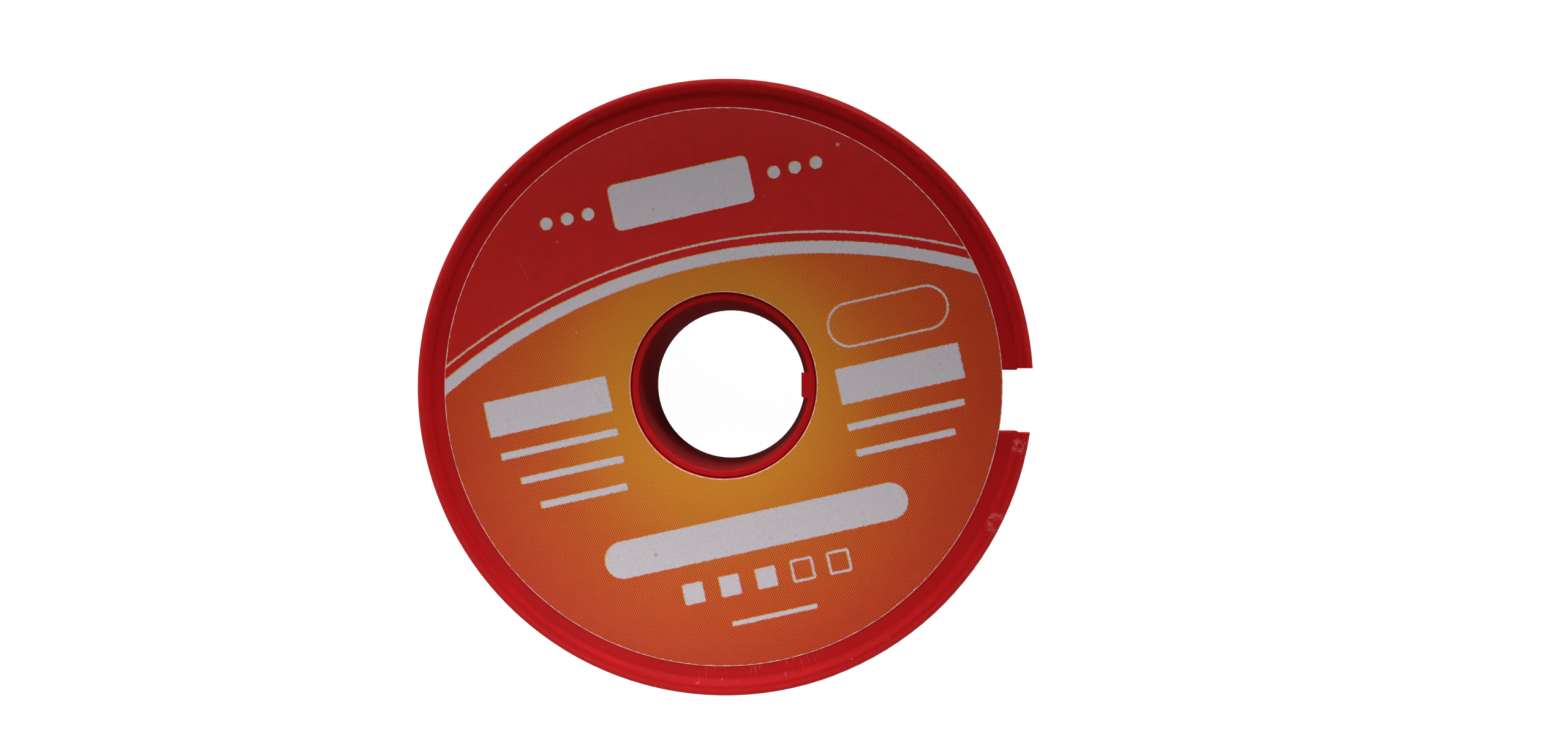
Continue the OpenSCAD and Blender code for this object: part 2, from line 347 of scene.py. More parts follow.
def scratches_group():
    """Fine straight scratches. Across says how many lie side by side in a millimetre."""
    group, given, result = new_group(
        "Scratches", "ShaderNodeTree",
        {"Place": (0.0, 0.0, 0.0), "Turn": 0.0, "Across": 6.0, "Length": 8.0, "Amount": 0.4},
        {"Mask": 0.0})
    turned = add_node(
        group, "ShaderNodeVectorRotate",
        {"Vector": given.outputs["Place"], "Angle": given.outputs["Turn"]}, rotation_type="Z_AXIS")
    parts = add_node(group, "ShaderNodeSeparateXYZ", (turned.outputs[0],))
    wander = noise(group, turned.outputs[0], 0.12, 1.0)
    side = plus(group, parts.outputs[1], both(group, wander, 1.5))
    drawn = joined(
        group, maths(group, "DIVIDE", parts.outputs[0], given.outputs["Length"]),
        both(group, side, given.outputs["Across"]), parts.outputs[2])
    lines = noise(group, drawn, 1.0, 1.0, 0.4)
    patches = noise(group, given.outputs["Place"], 0.16, 2.0)
    limit = minus(group, 0.86, both(group, given.outputs["Amount"], 0.22))
    sharp = ramp(group, lines, limit, plus(group, limit, 0.05))
    group.links.new(both(group, sharp, ramp(group, patches, 0.45, 0.6)), result.inputs["Mask"])
    return group


def plate_group():
    """Signed distance in millimetres from a rounded plate, below zero inside it."""
    group, given, result = new_group(
        "Rounded Plate", "ShaderNodeTree",
        {"Place": (0.0, 0.0, 0.0), "Centre X": 0.0, "Centre Y": 0.0, "Half Width": 1.0,
         "Half Height": 1.0, "Corner": 0.1}, {"Distance": 0.0})
    centre = joined(group, given.outputs["Centre X"], given.outputs["Centre Y"])
    apart = vector_maths(group, "ABSOLUTE", vector_maths(group, "SUBTRACT", given.outputs["Place"], centre))
    corner = given.outputs["Corner"]
    half = joined(
        group, minus(group, given.outputs["Half Width"], corner),
        minus(group, given.outputs["Half Height"], corner))
    parts = add_node(group, "ShaderNodeSeparateXYZ", (vector_maths(group, "SUBTRACT", apart, half),))
    x, y = parts.outputs[0], parts.outputs[1]
    outside = vector_maths(
        group, "LENGTH", joined(group, maths(group, "MAXIMUM", x, 0.0), maths(group, "MAXIMUM", y, 0.0)))
    inside = maths(group, "MINIMUM", maths(group, "MAXIMUM", x, y), 0.0)
    distance = minus(group, plus(group, outside, inside), corner)
    group.links.new(distance, result.inputs["Distance"])
    return group


def shared(name, build):
    """The node group of that name, built at its first use."""
    return bpy.data.node_groups.get(name) or build()


def round_place(tree, place):
    return use_group(tree, shared("Round Place", round_place_group), {"Place": place}).outputs


def specks(tree, place, per_mm, size, share):
    inputs = {"Place": place, "Per Millimetre": per_mm, "Size": size, "Share": share}
    return use_group(tree, shared("Specks", specks_group), inputs).outputs["Mask"]


def scratches(tree, place, turn, across, length, amount):
    inputs = {"Place": place, "Turn": turn, "Across": across, "Length": length, "Amount": amount}
    return use_group(tree, shared("Scratches", scratches_group), inputs).outputs["Mask"]


# ---- Plastic ----

# Colours of the painted shade on the bore's wall, of the painted light on the rim's thin outer edge, and of
# dust
BORE_PAINTED_SHADE = (0.032, 0.015, 0.016)
EDGE_PAINTED_LIGHT = (0.68, 0.02, 0.024)
DUST = (0.62, 0.5, 0.46)
# Place and radius in mm of each ring rubbed into the front rim
RUB_RINGS = ((28.5, -5.9, 0.42), (26.35, -13.3, 0.75))
# Place in mm, length and turn of each nick in the front rim
RIM_NICKS = (
    (-2.46, -28.68, 0.42, 0.45), (-6.5, -28.9, 0.26, 1.2), (-0.13, -28.4, 0.16, 1.4),
    (12.4, -26.3, 0.2, 0.9), (-21.3, 19.6, 0.24, 2.2), (9.2, 28.0, 0.18, 0.3),
)
NICK_HALF_HEIGHT = 0.06
# Turns about the axis between which the land is scratched
SCORED_FROM = -1.65
SCORED_TO = -1.24


def rub_ring(tree, place, x, y, radius):
    """A rough worn ring, left where something pressed on the rim."""
    offset = vector_maths(tree, "SUBTRACT", place, joined(tree, x, y, FLANGE_BOX[1].z / MM))
    ragged = both(tree, centred_noise(tree, place, 1.6, 3.0, 0.6), 1.1)
    distance = plus(tree, vector_maths(tree, "LENGTH", offset), ragged)
    ring = maths(tree, "ABSOLUTE", minus(tree, distance, radius))
    grain = ramp(tree, noise(tree, place, 5.0, 2.0), 0.38, 0.6)
    return both(tree, ramp(tree, ring, 0.38, 0.08), grain)


def scored_land(tree, radius, angle):
    """Scratches that run out from the label's lower edge, each to a length of its own."""
    run = both(tree, angle, LAND_RADIUS)
    lines = noise(tree, joined(tree, both(tree, run, 4.6), both(tree, radius, 0.5)), 1.0, 3.0, 0.6)
    crowd = noise(tree, joined(tree, both(tree, run, 0.55), 3.0), 1.0, 1.0)
    lines = ramp(tree, plus(tree, lines, both(tree, crowd, 0.35)), 0.74, 0.8)
    unevenness = noise(tree, joined(tree, both(tree, run, 1.9), 8.0), 1.0, 2.0)
    reach = ramp(tree, unevenness, 0.35, 0.65, LABEL_RADIUS + 0.25, LABEL_RADIUS + 1.65)
    stretch = both(
        tree, ramp(tree, angle, SCORED_FROM - 0.1, SCORED_FROM + 0.1),
        ramp(tree, angle, SCORED_TO + 0.06, SCORED_TO - 0.06))
    land = both(
        tree, ramp(tree, radius, LABEL_RADIUS - 0.1, LABEL_RADIUS + 0.05),
        ramp(tree, minus(tree, radius, reach), 0.15, -0.1))
    return both(tree, both(tree, lines, stretch), land)


def rim_nick(tree, place, x, y, length, turn):
    """A short narrow dent."""
    offset = vector_maths(tree, "SUBTRACT", place, joined(tree, x, y))
    nick = use_group(tree, shared("Rounded Plate", plate_group), {
        "Place": flat_place(tree, offset, turn), "Half Width": length / 2,
        "Half Height": NICK_HALF_HEIGHT, "Corner": NICK_HALF_HEIGHT})
    return ramp(tree, nick.outputs["Distance"], 0.03, -0.03)


def front_marks(tree, place, ring):
    """Marks of use on the front flange: rubbed rings, scratches across the land and nicks in the rim."""
    rings = [rub_ring(tree, place, *rubbed) for rubbed in RUB_RINGS]
    scored = both(tree, scored_land(tree, ring["Radius"], ring["Angle"]), 0.42)
    nicks = [both(tree, rim_nick(tree, place, *nick), 1.3) for nick in RIM_NICKS]
    return either(tree, *rings, scored, *nicks)


def moulding_wear(tree, place, ring, marked):
    """Mask of the plastic's wear: the rubbed crest of the rim, hairlines, nicks and the marks of use."""
    radius = ring["Radius"]
    on_crest = both(
        tree, ramp(tree, radius, RIM_RADIUS - 1.25, RIM_RADIUS - 1.0),
        ramp(tree, radius, RIM_RADIUS - 0.05, RIM_RADIUS - 0.4))
    drawn_out = vector_maths(tree, "MULTIPLY", ring["Along"], (14, 14, 3.2))
    rub = both(tree, on_crest, ramp(tree, noise(tree, drawn_out, 1.0, 3.0), 0.62, 0.72))
    hair = either(
        tree, scratches(tree, place, 0.5, 7.0, 9.0, 0.25), scratches(tree, place, 2.2, 8.0, 6.0, 0.22))
    nicks = specks(tree, place, 0.42, 0.065, 0.5)
    worn = either(tree, both(tree, rub, 0.16), both(tree, hair, 0.35), both(tree, nicks, 0.55))
    if marked:
        worn = either(tree, worn, front_marks(tree, place, ring))
    return worn


def moulding_relief(tree, place, ring, in_bore, worn):
    """Height of the plastic's skin, with worn places pressed in."""
    # Drag marks of the mould's core along the bore, and faint turning marks on the faces
    around = both(tree, ring["Angle"], BORE_RADIUS)
    lengthways = joined(tree, both(tree, around, 2.6), both(tree, ring["Height"], 0.12))
    drag = noise(tree, lengthways, 1.0, 2.0, 0.6)
    turning = noise(tree, vector_maths(tree, "MULTIPLY", ring["Along"], (0.8, 0.8, 7.0)), 1.0, 2.0)
    skin = noise(tree, place, 1.1, 2.0, 0.45)
    fine = noise(tree, place, 9.0, 2.0, 0.5)
    level = plus(tree, both(tree, skin, 0.5), both(tree, fine, 0.06))
    level = plus(tree, level, both(tree, turning, 0.06))
    level = plus(tree, level, both(tree, both(tree, in_bore, drag), 0.3))
    return minus(tree, level, both(tree, worn, 0.35))


def plastic_finish(name, colours, marked):
    """Satin red moulding. The marked one has the rubbed places of a face that lies up."""
    material, tree, shader = new_material(name)
    place = object_millimetres(tree)
    ring = round_place(tree, place)
    in_bore = both(
        tree, ramp(tree, ring["Radius"], BORE_RADIUS + 0.12, BORE_RADIUS + 0.04),
        ramp(tree, ring["Height"], HUB_END - 0.02, HUB_END - 0.1))
    worn = moulding_wear(tree, place, ring, marked)

    # Slow cloudiness of the pigment and a fine mottle
    cloud = noise(tree, place, 0.11, 3.0)
    mottle = noise(tree, place, 1.7, 3.0, 0.6)
    tone = plus(
        tree, ramp(tree, cloud, 0.25, 0.75, 0.93, 1.05), ramp(tree, mottle, 0.2, 0.8, -0.03, 0.03))
    colour = toned(tree, colours.plastic, tone)

    # Painted shade darkens the bore's wall, and painted light brightens the rim's thin outer edge, as if
    # light came through it
    colour = mix_colour(tree, both(tree, in_bore, 0.45), colour, BORE_PAINTED_SHADE)
    edge = ramp(tree, ring["Radius"], RIM_RADIUS - 0.9, RIM_RADIUS - 0.3)
    colour = mix_colour(tree, both(tree, edge, 0.5), colour, EDGE_PAINTED_LIGHT)
    colour = mix_colour(tree, worn, colour, colours.plastic_scuff)
    dust = specks(tree, place, 1.3, 0.05, 0.12)
    colour = mix_colour(tree, both(tree, dust, 0.35), colour, DUST)

    # Rubbed places and the bore are rougher
    roughness = plus(tree, ramp(tree, mottle, 0.2, 0.8, 0.46, 0.54), both(tree, worn, 0.2))
    roughness = plus(tree, roughness, both(tree, in_bore, 0.5))
    finish_surface(tree, shader, colour, roughness, moulding_relief(tree, place, ring, in_bore, worn))
    shader.inputs["Specular IOR Level"].default_value = 0.08
    shader.inputs["Subsurface Weight"].default_value = 0.8
    shader.inputs["Subsurface Radius"].default_value = (1.0, 0.15, 0.12)
    shader.inputs["Subsurface Scale"].default_value = 0.9 * MM
    return material


class SPOOL_OT_mouldings(bpy.types.Operator):
    """Give the spool body and the front flange their satin red plastic"""
    bl_idname = "spool.mouldings"
    bl_label = "Finish Mouldings"

    def execute(self, context):
        colours = context.scene.spool_colours
        finishes = {
            "spool_body": plastic_finish("moulded_plastic_rear", colours, False),
            "front_flange": plastic_finish("moulded_plastic_front", colours, True),
        }
        for name, material in finishes.items():
            for place in bpy.data.objects[name].material_slots:
                place.material = material
        return {"FINISHED"}


# ---- Label ----

# Centre, half size and corner of each blank shape of the label's printing, in mm, unturned
SOLID_PLATES = (
    (0.0, 19.2, 7.0, 2.3, 0.7),
    (-17.2, 1.7, 6.1, 1.75, 0.12),
    (16.9, -2.6, 6.1, 1.75, 0.12),
    (0.0, -14.4, 15.0, 1.8, 1.8),
)
RULED_LINES = (
    (-16.9, -2.1, 5.8, 0.34, 0.1), (-16.2, -4.8, 5.1, 0.34, 0.1), (-15.6, -7.5, 4.3, 0.34, 0.1),
    (16.6, -6.6, 5.8, 0.34, 0.1), (16.0, -9.2, 4.9, 0.34, 0.1), (0.0, -22.7, 4.2, 0.22, 0.1),
)
TICK_BOXES = tuple((step * 3.6, -19.0, 1.0, 1.0, 0.15) for step in range(-2, 3))
OUTLINED_PILL = (17.0, 3.1, 5.9, 2.1, 2.1)
DISCS = tuple((side * at, 19.2, 0.62, 0.62, 0.62) for side in (-1, 1) for at in (9.3, 11.4, 13.5))
# Half widths in mm of the lines around the pill and the tick boxes
PILL_HALF_LINE = 0.1
BOX_HALF_LINE = 0.12
# Centre, radius and half width in mm of the arched stripe, and rise and half width of its hairline
BAND_CENTRE = (0.0, -44.0, 0.0)
BAND_RADIUS = 56.4
BAND_HALF_WIDTH = 0.6
HAIRLINE_RISE = 1.5
HAIRLINE_HALF_WIDTH = 0.1
# How far in mm the yellow ink lies beside the red one
REGISTER_SLIP = (-0.09, 0.07, 0.0)
# Centre of the screen's fade in mm, and the distances from it where its slope changes
FADE_CENTRE = (-0.9, -0.95, 0.0)
FADE_START = 9.0
FADE_MIDDLE = 17.0
FADE_END = 25.5
# Colours of dirt that sticks to the label, and of hairline scratches in its printing
DIRT = (0.45, 0.27, 0.2)
SCRATCHED_PRINT = (0.62, 0.42, 0.36)


def blank_artwork_group():
    """Distance in millimetres from the printing's blank shapes, and from the arc's centre line."""
    group, given, result = new_group(
        "Blank Artwork", "ShaderNodeTree", {"Place": (0.0, 0.0, 0.0)}, {"Distance": 0.0, "Cap": 0.0})
    place = given.outputs["Place"]
    plate = shared("Rounded Plate", plate_group)

    def distance(shape):
        names = ("Centre X", "Centre Y", "Half Width", "Half Height", "Corner")
        return use_group(group, plate, {"Place": place, **dict(zip(names, shape))}).outputs["Distance"]

    def outline(shape, half_width):
        return minus(group, maths(group, "ABSOLUTE", distance(shape)), half_width)

    shapes = [distance(shape) for shape in SOLID_PLATES + RULED_LINES + DISCS + TICK_BOXES[:3]]
    shapes.append(outline(OUTLINED_PILL, PILL_HALF_LINE))
    shapes += [outline(box, BOX_HALF_LINE) for box in TICK_BOXES[3:]]
    # A stripe of even width, and a hairline above it
    cap = minus(group, vector_maths(group, "DISTANCE", place, BAND_CENTRE), BAND_RADIUS)
    above = maths(group, "ABSOLUTE", minus(group, cap, HAIRLINE_RISE))
    shapes.append(minus(group, above, HAIRLINE_HALF_WIDTH))
    nearest = minus(group, maths(group, "ABSOLUTE", cap), BAND_HALF_WIDTH)
    for shape in shapes:
        nearest = maths(group, "MINIMUM", nearest, shape)
    group.links.new(nearest, result.inputs["Distance"])
    group.links.new(cap, result.inputs["Cap"])
    return group


def screen_dots(tree, place, ink_share):
    """Mask of the halftone screen's dots, which grow with the share from nothing at 0 to all ink at 1."""
    turned = flat_place(tree, place, SCREEN_TURN)
    phase = add_node(tree, "ShaderNodeSeparateXYZ", (scaled(tree, turned, 2 * math.pi / SCREEN_PERIOD),))
    waves = plus(tree, maths(tree, "COSINE", phase.outputs[0]), maths(tree, "COSINE", phase.outputs[1]))
    level = ramp(tree, waves, -2.0, 2.0, 1.0, 0.0, smooth=False)
    return ramp(tree, minus(tree, ink_share, level), -0.06, 0.06)


def printed_colour(tree, colours, place, flat, grain):
    """Colour of the printed paper: solid red, red dots over yellow, and the shapes left bare."""
    # Ink runs a little unevenly into the paper
    elsewhere = vector_maths(tree, "ADD", place, (9.0, 5.0, 2.0))
    ragged = joined(tree, *(centred_noise(tree, spot, 5.0, 2.0, 0.6) for spot in (place, elsewhere)))
    printing = flat_place(tree, vector_maths(tree, "ADD", flat, scaled(tree, ragged, 0.22)), PRINT_TURN)

    # The two inks leave the same shapes bare, a little out of register
    artwork = shared("Blank Artwork", blank_artwork_group)
    red_artwork = use_group(tree, artwork, {"Place": printing})
    yellow_artwork = use_group(
        tree, artwork, {"Place": vector_maths(tree, "ADD", printing, REGISTER_SLIP)})
    red_mask = ramp(tree, red_artwork.outputs["Distance"], -0.03, 0.05)
    yellow_mask = ramp(tree, yellow_artwork.outputs["Distance"], -0.03, 0.05)

    # Red dots: small beside the hub, large near the edge, and solid red in the cap
    from_hub = vector_maths(tree, "DISTANCE", printing, FADE_CENTRE)
    cloud = noise(tree, place, 0.09, 2.0)
    from_hub = plus(tree, from_hub, ramp(tree, cloud, 0.2, 0.8, -0.5, 0.5))
    ink_share = plus(
        tree, ramp(tree, from_hub, FADE_START, FADE_MIDDLE, 0.33, 0.6, smooth=False),
        ramp(tree, from_hub, FADE_MIDDLE, FADE_END, 0.0, 0.19, smooth=False))
    cap = ramp(tree, red_artwork.outputs["Cap"], -0.05, 0.05)
    dots = either(tree, screen_dots(tree, flat, ink_share), cap)

    # Grain and flecks of the paper, and uneven red ink
    fleck = ramp(tree, noise(tree, place, 2.4, 3.0, 0.7), 0.56, 0.68)
    paper_tone = minus(tree, ramp(tree, grain, 0.25, 0.75, 0.93, 1.05), both(tree, fleck, 0.08))
    ink_tone = ramp(tree, noise(tree, place, 0.8, 4.0, 0.65), 0.25, 0.75, 0.93, 1.07)
    colour = mix_colour(
        tree, yellow_mask, toned(tree, colours.blank_paper, paper_tone), colours.yellow_ink)
    return mix_colour(tree, both(tree, red_mask, dots), colour, toned(tree, colours.red_ink, ink_tone))


def cut_edges(tree, sizes, place, flat):
    """Mask of the bare, slightly frayed paper along the label's two cuts."""
    centre = (LABEL_BOX[0] + LABEL_BOX[1]) / 2 / MM
    hole_radius = sizes.label_hole_radius / MM
    from_axis = vector_maths(tree, "LENGTH", flat)
    from_centre = vector_maths(tree, "DISTANCE", flat, (centre.x, centre.y, 0.0))
    fray = both(tree, centred_noise(tree, place, 2.2, 4.0, 0.65), 0.26)
    at_hole = ramp(tree, plus(tree, from_axis, fray), hole_radius + 0.1, hole_radius + 0.05)
    at_rim = ramp(tree, plus(tree, from_centre, fray), LABEL_RADIUS - 0.1, LABEL_RADIUS - 0.05)
    return either(tree, at_hole, at_rim)


def label_finish(colours, sizes):
    """Printed paper with bare cut edges, dirt and hairline scratches."""
    material, tree, shader = new_material("printed_paper")
    place = object_millimetres(tree)
    flat = flat_place(tree, place, 0.0)
    grain = noise(tree, place, 4.5, 3.0, 0.65)
    bare = cut_edges(tree, sizes, place, flat)
    colour = mix_colour(tree, bare, printed_colour(tree, colours, place, flat, grain), colours.cut_paper)
    dirt = either(
        tree, both(tree, specks(tree, place, 0.55, 0.07, 0.22), 0.55),
        both(tree, specks(tree, vector_maths(tree, "ADD", place, (3.0, 7.0, 0.0)), 0.23, 0.06, 0.35), 0.8))
    colour = mix_colour(tree, dirt, colour, DIRT)
    hair = either(
        tree, scratches(tree, place, 1.1, 7.0, 8.0, 0.2), scratches(tree, place, 2.6, 8.0, 5.0, 0.15))
    colour = mix_colour(tree, both(tree, hair, 0.18), colour, SCRATCHED_PRINT)

    roughness = plus(tree, ramp(tree, grain, 0.2, 0.8, 0.46, 0.58), both(tree, bare, 0.25))
    level = plus(tree, both(tree, grain, 0.35), both(tree, noise(tree, place, 0.35, 2.0), 0.6))
    level = minus(tree, level, both(tree, hair, 0.2))
    finish_surface(tree, shader, colour, roughness, level)
    shader.inputs["Specular IOR Level"].default_value = 0.2
    return material


def label_mesh(sizes):
    """A round paper sheet with a round hole off its middle, and with pressed-down cut edges."""
    low, high = LABEL_BOX
    centre = (low + high) / 2
    radius = (high.y - low.y) / 2
    hole = sizes.label_hole_radius
    thickness = high.z - low.z
    edge = sizes.label_edge
    segments = 288
    pressed = 0.62 * thickness
    sloped = 0.88 * thickness
    # Share of the way from hole to outline, fixed step outwards and height of each ring
    profile = [
        (0.0, 0.0, 0.0), (0.0, 0.0, pressed), (0.0, 0.35 * edge, sloped), (0.0, edge, thickness),
        (0.25, 0.0, thickness), (0.5, 0.0, thickness), (0.75, 0.0, thickness),
        (1.0, -edge, thickness), (1.0, -0.35 * edge, sloped), (1.0, 0.0, pressed), (1.0, 0.0, 0.0),
    ]
    shape = bmesh.new()
    rings = []
    for share, step, lift in profile:
        ring = []
        for index in range(segments):
            angle = 2 * math.pi * index / segments
            way = Vector((math.cos(angle), math.sin(angle), 0))
            inner = way * hole
            outer = Vector((centre.x, centre.y, 0)) + way * radius
            point = inner.lerp(outer, share) + way * step
            ring.append(shape.verts.new((point.x, point.y, low.z + lift)))
        rings.append(ring)
    for first, second in zip(rings, rings[1:] + rings[:1]):
        for index in range(segments):
            after = (index + 1) % segments
            shape.faces.new((first[index], second[index], second[after], first[after]))
    bmesh.ops.recalc_face_normals(shape, faces=shape.faces)
    for face in shape.faces:
        face.smooth = True
    sharp = math.radians(50)
    for line in shape.edges:
        line.smooth = line.calc_face_angle(0) < sharp
    mesh = bpy.data.meshes.new("printed_label")
    shape.to_mesh(mesh)
    shape.free()
    return mesh


class SPOOL_OT_label(bpy.types.Operator):
    """Make the paper label with its screened printing and bare plates"""
    bl_idname = "spool.label"
    bl_label = "Make Label"

    def execute(self, context):
        scene = context.scene
        label = bpy.data.objects.new("printed_label", label_mesh(scene.spool_sizes))
        scene.collection.objects.link(label)
        label.data.materials.append(label_finish(scene.spool_colours, scene.spool_sizes))
        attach(label, "root")
        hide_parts("front_label")
        return {"FINISHED"}


# ---- Wound wire ----

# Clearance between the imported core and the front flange
CORE_CLEARANCE = 0.05 * MM
# Height from the middle of a layer's lowest turn to that of its highest
LAYER_RUN = 13.88 * MM
START_HOLE_ANGLE = math.pi
# Turns by which the free end stops short of the flange
END_SHORT_BY = 0.4
# Waves in a metre of the lines along the wire
LINES_ALONG = 90.0
# Colours of the painted shade in the wire's nicks, and of flux on it
NICK_PAINTED_SHADE = (0.16, 0.16, 0.17)
FLUX = (0.42, 0.36, 0.24)


def layer_course(group, value, turn):
    """Radius and height of the wire's path, from one flange to the other and back, layer by layer."""
    layer_place = maths(group, "DIVIDE", turn, value["Turns In Layer"])
    layer = maths(group, "FLOOR", layer_place)
    in_layer = minus(group, layer_place, layer)
    climb_share = maths(group, "DIVIDE", value["Climb Turns"], value["Turns In Layer"])
    climb = ramp(group, in_layer, minus(group, 1.0, climb_share), 1.0)
    rise = both(group, value["Layer Step"], plus(group, layer, climb))
    radius = plus(group, value["First Radius"], rise)
    sweep = maths(group, "PINGPONG", layer_place, 1.0)
    height = ramp(group, sweep, 0.0, 1.0, value["Low Height"], value["High Height"], smooth=False)

    # Hand-laid turns are a little uneven
    sway = centred_noise(group, joined(group, both(group, turn, 2.7), value["Seed"]), 1.0, 1.0)
    height = plus(group, height, both(group, sway, value["Unevenness"]))
    swell = centred_noise(group, joined(group, both(group, turn, 1.9), value["Seed"], 7.0), 1.0, 1.0)
    radius = plus(group, radius, both(group, swell, value["Unevenness"]))
    return radius, height


def lead_ends(group, value, index, turn, radius, height):
    """Radius and height of the path with both its ends led away, and the tail's step back along it."""
    # Tail: straight up through the flange, then a bend into the first turn
    tail_rings = maths(group, "MAXIMUM", value["Tail Rings"], 1.0)
    along_tail = maths(group, "DIVIDE", index, tail_rings, clamp=True)
    bend = both(group, ramp(group, along_tail, 0.4, 1.0, smooth=False), math.pi / 2)
    straight = minus(group, 1.0, ramp(group, along_tail, 0.0, 0.4, smooth=False))
    dip = both(group, value["Tail Bend"], minus(group, 1.0, maths(group, "SINE", bend)))
    height = minus(group, height, dip)
    height = minus(group, height, both(group, straight, value["Tail Length"]))
    back = both(group, value["Tail Bend"], maths(group, "COSINE", bend))
    joining = minus(group, 1.0, ramp(group, turn, 0.0, 0.12))
    radius = plus(group, radius, both(group, value["Tail Offset"], joining))

    # Free end: tucked down between the turns below
    from_end = minus(group, value["Last Turn"], turn)
    tuck = both(group, ramp(group, from_end, value["Tuck Turns"], 0.0), value["Tuck Depth"])
    return minus(group, radius, tuck), height, back


def wire_tube(group, value, route):
    """The wire along its route. It keeps its run and its side, which its finish reads."""
    run = add_node(group, "GeometryNodeSplineParameter").outputs["Length"]
    with_run = add_node(
        group, "GeometryNodeStoreNamedAttribute",
        {"Geometry": route, "Name": "wire_run", "Value": run}, data_type="FLOAT", domain="POINT")
    profile = add_node(
        group, "GeometryNodeCurvePrimitiveCircle",
        {"Resolution": value["Sides"], "Radius": both(group, value["Wire Diameter"], 0.5)}, mode="RADIUS")
    outwards = vector_maths(group, "NORMALIZE", add_node(group, "GeometryNodeInputPosition").outputs[0])
    with_side = add_node(
        group, "GeometryNodeStoreNamedAttribute",
        {"Geometry": profile.outputs[0], "Name": "wire_side", "Value": outwards},
        data_type="FLOAT_VECTOR", domain="POINT")
    tube = add_node(
        group, "GeometryNodeCurveToMesh",
        {"Curve": with_run.outputs[0], "Profile Curve": with_side.outputs[0], "Fill Caps": True})
    smooth = add_node(
        group, "GeometryNodeSetShadeSmooth", {"Geometry": tube.outputs[0], "Shade Smooth": True})
    real = add_node(group, "GeometryNodeRealizeInstances", (smooth.outputs[0],))
    final = add_node(
        group, "GeometryNodeSetMaterial", {"Geometry": real.outputs[0], "Material": value["Material"]})
    return final.outputs[0]


def winding_tree():
    """Geometry nodes that lay one wire in layers of side-by-side turns between the flanges."""
    group, given, result = new_group(
        "Wire Winding", "GeometryNodeTree",
        {"Wire Diameter": 0.001, "First Radius": 0.01, "Layer Step": 0.001, "Low Height": 0.0,
         "High Height": 0.01, "Turns In Layer": 10.0, "First Turn": 0.0, "Last Turn": 10.0,
         "Rings Per Turn": 48, "Sides": 8, "Start Angle": 0.0, "Climb Turns": 0.2, "Unevenness": 0.0,
         "Seed": 1.0, "Tail Rings": 0, "Tail Bend": 0.0, "Tail Length": 0.0, "Tail Offset": 0.0,
         "Tuck Turns": 0.05, "Tuck Depth": 0.0, "Material": "NodeSocketMaterial"},
        {"Geometry": "NodeSocketGeometry"})
    value = given.outputs
    turns = minus(group, value["Last Turn"], value["First Turn"])
    rings = maths(group, "ROUND", both(group, turns, value["Rings Per Turn"]))
    count = plus(group, plus(group, rings, value["Tail Rings"]), 1.0)
    line = add_node(group, "GeometryNodeMeshLine", {"Count": count}, mode="OFFSET")
    curve = add_node(group, "GeometryNodeMeshToCurve", (line.outputs[0],))

    # Turns since the first one, for each ring behind the tail
    index = add_node(group, "GeometryNodeInputIndex").outputs[0]
    behind = maths(group, "MAXIMUM", minus(group, index, value["Tail Rings"]), 0.0)
    turn = plus(group, maths(group, "DIVIDE", behind, value["Rings Per Turn"]), value["First Turn"])

    radius, height = layer_course(group, value, turn)
    radius, height, back = lead_ends(group, value, index, turn, radius, height)
    angle = plus(group, value["Start Angle"], both(group, turn, 2 * math.pi))
    angle = minus(group, angle, maths(group, "DIVIDE", back, radius))
    place = joined(
        group, both(group, radius, maths(group, "COSINE", angle)),
        both(group, radius, maths(group, "SINE", angle)), height)
    laid = add_node(group, "GeometryNodeSetPosition", {"Geometry": curve.outputs[0], "Position": place})
    group.links.new(wire_tube(group, value, laid.outputs[0]), result.inputs["Geometry"])
    return group


def wound_wire(name, values):
    """Runs the winding tree with the given values, and returns its result as a plain mesh object."""
    group = shared("Wire Winding", winding_tree)
    carrier = bpy.data.objects.new(name, bpy.data.meshes.new(name + "_carrier"))
    bpy.context.scene.collection.objects.link(carrier)
    modifier = carrier.modifiers.new("winding", "NODES")
    modifier.node_group = group
    sockets = {item.name: item.identifier for item in group.interface.items_tree if item.in_out == "INPUT"}
    for title, setting in values.items():
        modifier[sockets[title]] = setting
    bpy.context.view_layer.update()
    graph = bpy.context.evaluated_depsgraph_get()
    mesh = bpy.data.meshes.new_from_object(carrier.evaluated_get(graph), depsgraph=graph)
    mesh.name = name
    carrier.modifiers.remove(modifier)
    carrier.data = mesh
    return carrier


